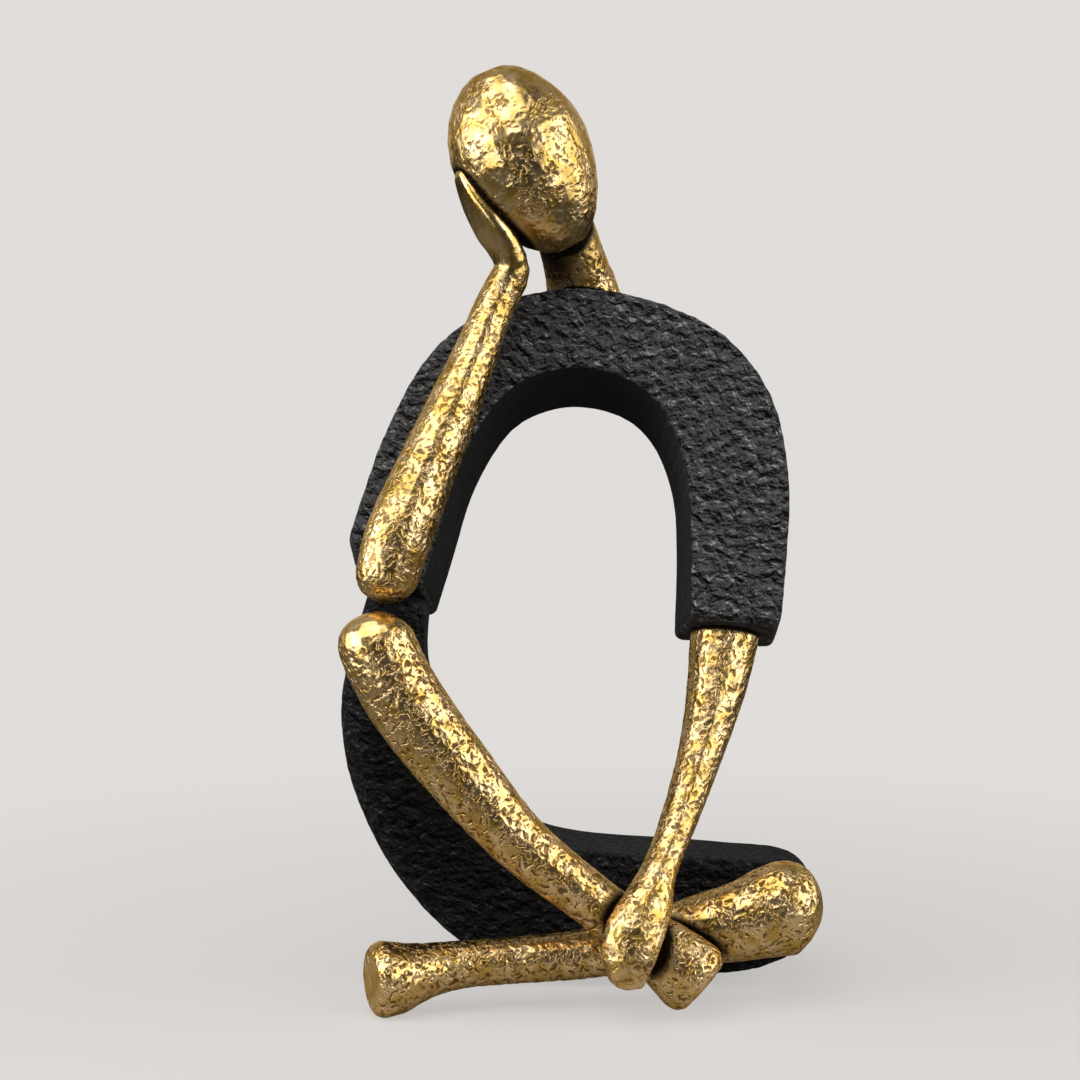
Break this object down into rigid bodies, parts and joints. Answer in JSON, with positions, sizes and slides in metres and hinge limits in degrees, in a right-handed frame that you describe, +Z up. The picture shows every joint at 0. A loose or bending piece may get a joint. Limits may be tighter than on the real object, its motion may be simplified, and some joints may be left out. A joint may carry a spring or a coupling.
{
  "type": "human figurine",
  "caption": "Abstract seated figurine with crossed legs, its egg head leaning on a raised hand; gold head and limbs, rough black sleeves and thighs.",
  "frame": {"origin": "on the shelf, centred under the bounding box", "axes": "+X to the figure's left, +Y to its back, +Z up"},
  "size_m": [0.1354, 0.1006, 0.2615],
  "materials": {
    "coat_black": "matte",
    "antique_gold": "satin",
    "dowel_steel": "satin",
    "felt": "matte"
  },
  "bodies": {
    "root": {"shoulder_arch": "coat_black", "seat_and_thighs": "coat_black", "head": "antique_gold", "neck": "antique_gold", "right_forearm": "antique_gold", "left_forearm": "antique_gold", "right_shin": "antique_gold", "left_shin": "antique_gold", "head_pin": "dowel_steel", "neck_pin": "dowel_steel", "elbow_pin": "dowel_steel", "left_cuff_pin": "dowel_steel", "fist_pin": "dowel_steel", "ankle_pin": "dowel_steel", "right_knee_pin": "dowel_steel", "left_knee_pin": "dowel_steel", "thigh_pin": "dowel_steel", "right_pad": "felt", "left_pad": "felt", "back_pad": "felt"}
  },
  "joints": []
}
